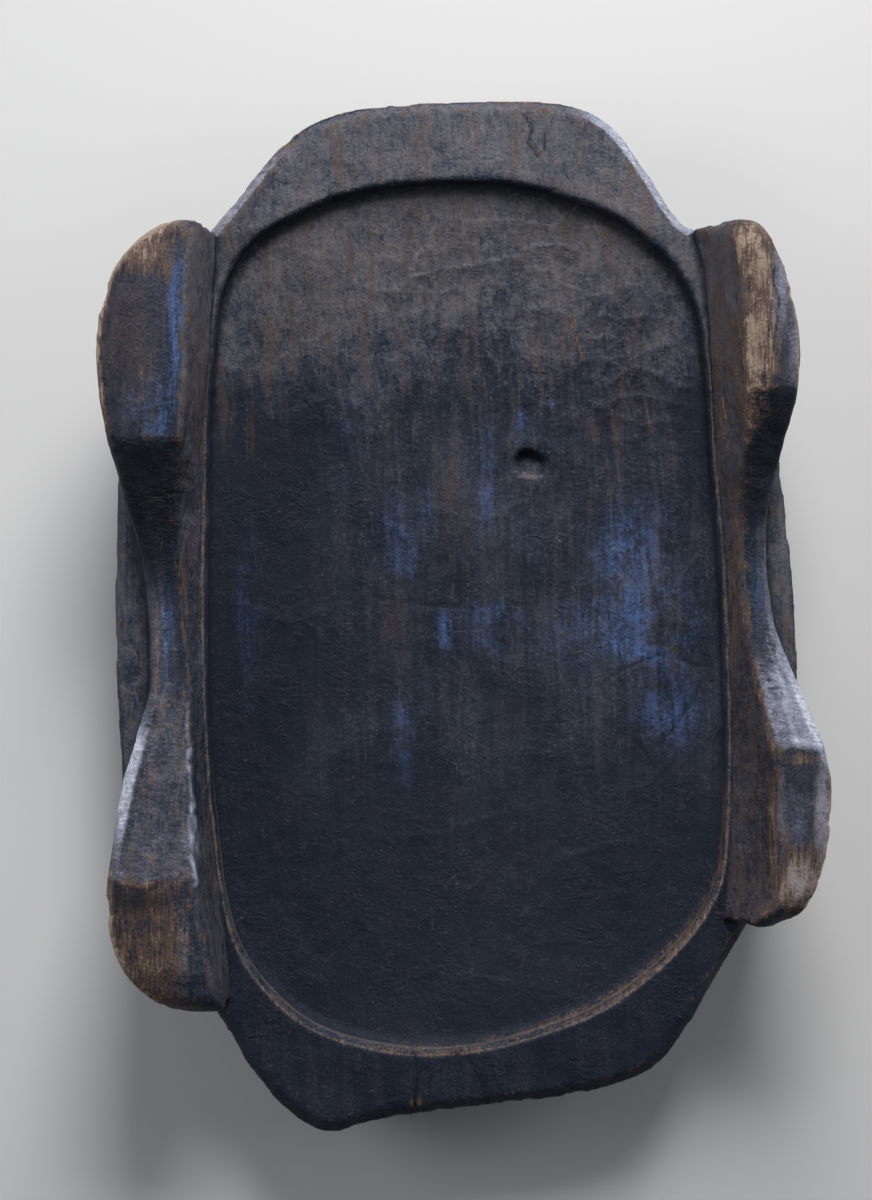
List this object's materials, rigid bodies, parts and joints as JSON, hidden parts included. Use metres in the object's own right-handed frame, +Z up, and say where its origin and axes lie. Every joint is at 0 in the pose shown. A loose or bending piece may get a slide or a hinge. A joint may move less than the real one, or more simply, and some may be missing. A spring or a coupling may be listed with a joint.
{
  "type": "carved wooden bowl",
  "caption": "Shallow carved wooden serving bowl with flat end ledges and a saddle-shaped rail with raised grips along each long side.",
  "frame": {"origin": "on the surface it rests on, below the middle of the bowl's outline", "axes": "+Z up out of the hollow, +Y along the length towards the head end, +X across towards the right-hand rail"},
  "size_m": [0.354, 0.516, 0.0895],
  "materials": {
    "blackened_wood": "smoked black-brown patina, rubbed to a dull sheen",
    "worn_wood": "handled and worn, brown showing through the black"
  },
  "bodies": {
    "root": {"bowl_floor": "blackened_wood", "head_ledge": "blackened_wood", "foot_ledge": "blackened_wood", "left_side_board": "blackened_wood", "right_side_board": "blackened_wood", "left_rail": "blackened_wood", "right_rail": "blackened_wood", "left_head_grip": "worn_wood", "right_head_grip": "worn_wood", "left_foot_grip": "worn_wood", "right_foot_grip": "worn_wood", "resting_foot": "blackened_wood"}
  },
  "joints": []
}
